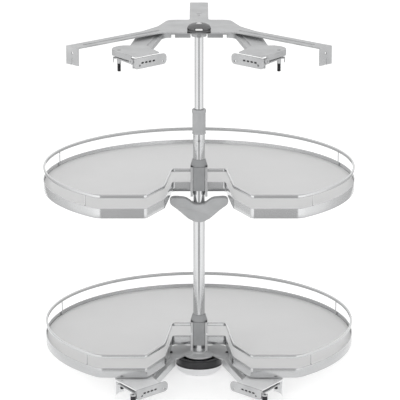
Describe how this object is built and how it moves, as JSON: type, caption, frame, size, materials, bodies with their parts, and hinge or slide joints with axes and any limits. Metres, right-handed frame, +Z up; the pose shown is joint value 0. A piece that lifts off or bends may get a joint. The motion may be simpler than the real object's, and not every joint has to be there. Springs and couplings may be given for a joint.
{
  "type": "corner carousel cabinet fitting",
  "caption": "Rotating corner cabinet fitting: notched round trays with railings on a telescopic post, with arms that carry door plates and a legged bracket fixed to the cabinet.",
  "frame": {"origin": "the post's axis on the cabinet floor, at the underside of the foot", "axes": "+Z up along the post, -Y towards the doors, X across; the fitting is the same on both sides of the YZ plane"},
  "size_m": [0.72, 0.7314, 0.8268],
  "materials": {
    "plated_steel": "satin zinc-plated sheet",
    "satin_tube": "satin drawn tube",
    "rail_chrome": "bright chrome plate",
    "band_metal": "satin strip",
    "board_foil": "chipboard faced with pale grey foil",
    "grey_plastic": "grey moulded plastic",
    "dark_plastic": "dark grey moulded plastic",
    "black_plastic": "black moulded plastic",
    "black_steel": "black finished steel",
    "bright_steel": "bright plated steel"
  },
  "bodies": {
    "foot": {"floor_dish": "bright_steel", "bearing_ring": "black_plastic", "pivot_pin": "bright_steel"},
    "ball_cage": {"ball_cage": "bright_steel"},
    "column": {"hub_plate": "plated_steel", "lower_tube": "satin_tube", "coupling_sleeve": "grey_plastic", "post_clamp_screw": "black_steel", "door_support": "grey_plastic", "bottom_arm_plate": "plated_steel", "bottom_plate_screw_left": "black_steel", "bottom_plate_screw_right": "black_steel", "lower_left_bracket_body": "plated_steel", "lower_right_bracket_body": "plated_steel"},
    "upper_post": {"upper_tube": "satin_tube", "guide_bush": "grey_plastic", "top_socket": "plated_steel", "socket_screw": "black_steel", "top_arm_plate": "plated_steel", "top_pivot": "bright_steel", "upper_left_bracket_body": "plated_steel", "upper_right_bracket_body": "plated_steel"},
    "cabinet_bracket": {"star_bracket": "plated_steel", "bearing_housing": "black_plastic"},
    "lower_tray": {"lower_board": "board_foil", "lower_band": "band_metal", "lower_railing": "rail_chrome", "lower_hub_bracket": "plated_steel", "lower_clamp_insert": "dark_plastic", "lower_cone_collar": "grey_plastic", "lower_clamp_bolt": "bright_steel", "lower_foot_screw_1": "bright_steel", "lower_foot_screw_2": "bright_steel"},
    "upper_tray": {"upper_board": "board_foil", "upper_band": "band_metal", "upper_railing": "rail_chrome", "upper_hub_bracket": "plated_steel", "upper_clamp_insert": "dark_plastic", "upper_cone_collar": "grey_plastic", "upper_clamp_bolt": "bright_steel", "upper_foot_screw_1": "bright_steel", "upper_foot_screw_2": "bright_steel"},
    "lower_left_adjuster": {"lower_left_adjuster_stud": "black_steel"},
    "lower_left_door_carrier": {"lower_left_carrier": "plated_steel", "lower_left_door_plate": "plated_steel", "lower_left_pivot_screw": "black_steel"},
    "lower_right_adjuster": {"lower_right_adjuster_stud": "black_steel"},
    "lower_right_door_carrier": {"lower_right_carrier": "plated_steel", "lower_right_door_plate": "plated_steel", "lower_right_pivot_screw": "black_steel"},
    "upper_left_adjuster": {"upper_left_adjuster_stud": "black_steel"},
    "upper_left_door_carrier": {"upper_left_carrier": "plated_steel", "upper_left_door_plate": "plated_steel", "upper_left_pivot_screw": "plated_steel"},
    "upper_right_adjuster": {"upper_right_adjuster_stud": "black_steel"},
    "upper_right_door_carrier": {"upper_right_carrier": "plated_steel", "upper_right_door_plate": "plated_steel", "upper_right_pivot_screw": "plated_steel"}
  },
  "joints": [
    {"name": "carousel_spin", "type": "hinge", "parent": "foot", "child": "column", "pos_m": [0, 0, 0.036], "axis": [0, 0, 1], "continuous": true},
    {"name": "ball_cage_spin", "type": "hinge", "parent": "foot", "child": "ball_cage", "pos_m": [0, 0, 0.0298], "axis": [0, 0, 1], "continuous": true},
    {"name": "post_telescope", "type": "slide", "parent": "column", "child": "upper_post", "axis": [0, 0, 1], "range_m": [-0.12, 0.06]},
    {"name": "cabinet_bracket_spin", "type": "hinge", "parent": "upper_post", "child": "cabinet_bracket", "pos_m": [0, 0, 0.812], "axis": [0, 0, 1], "continuous": true},
    {"name": "lower_tray_height", "type": "slide", "parent": "column", "child": "lower_tray", "axis": [0, 0, 1], "range_m": [-0.002, 0.12]},
    {"name": "upper_tray_height", "type": "slide", "parent": "column", "child": "upper_tray", "axis": [0, 0, 1], "range_m": [0, 0.04]},
    {"name": "lower_left_adjuster_turn", "type": "hinge", "parent": "column", "child": "lower_left_adjuster", "pos_m": [-0.173, -0.226, 0.04775], "axis": [0, 0, 1], "range_deg": [-434, 434]},
    {"name": "lower_left_door_lift", "type": "slide", "parent": "column", "child": "lower_left_door_carrier", "axis": [0, 0, 1], "range_m": [-0.0015, 0.0015]},
    {"name": "lower_right_adjuster_turn", "type": "hinge", "parent": "column", "child": "lower_right_adjuster", "pos_m": [0.173, -0.226, 0.04775], "axis": [0, 0, 1], "range_deg": [-434, 434]},
    {"name": "lower_right_door_lift", "type": "slide", "parent": "column", "child": "lower_right_door_carrier", "axis": [0, 0, 1], "range_m": [-0.0015, 0.0015]},
    {"name": "upper_left_adjuster_turn", "type": "hinge", "parent": "upper_post", "child": "upper_left_adjuster", "pos_m": [-0.173, -0.222, 0.79375], "axis": [0, 0, 1], "range_deg": [-434, 434]},
    {"name": "upper_left_door_lift", "type": "slide", "parent": "upper_post", "child": "upper_left_door_carrier", "axis": [0, 0, 1], "range_m": [-0.0015, 0.0015]},
    {"name": "upper_right_adjuster_turn", "type": "hinge", "parent": "upper_post", "child": "upper_right_adjuster", "pos_m": [0.173, -0.222, 0.79375], "axis": [0, 0, 1], "range_deg": [-434, 434]},
    {"name": "upper_right_door_lift", "type": "slide", "parent": "upper_post", "child": "upper_right_door_carrier", "axis": [0, 0, 1], "range_m": [-0.0015, 0.0015]}
  ],
  "couplings": [
    {"joint": "cabinet_bracket_spin", "follows": "carousel_spin", "ratio": -1},
    {"joint": "ball_cage_spin", "follows": "carousel_spin", "ratio": 0.5},
    {"joint": "lower_left_adjuster_turn", "follows": "lower_left_door_lift", "rad_per_m": -5026.5},
    {"joint": "lower_right_adjuster_turn", "follows": "lower_right_door_lift", "rad_per_m": -5026.5},
    {"joint": "upper_left_adjuster_turn", "follows": "upper_left_door_lift", "rad_per_m": -5026.5},
    {"joint": "upper_right_adjuster_turn", "follows": "upper_right_door_lift", "rad_per_m": -5026.5}
  ]
}
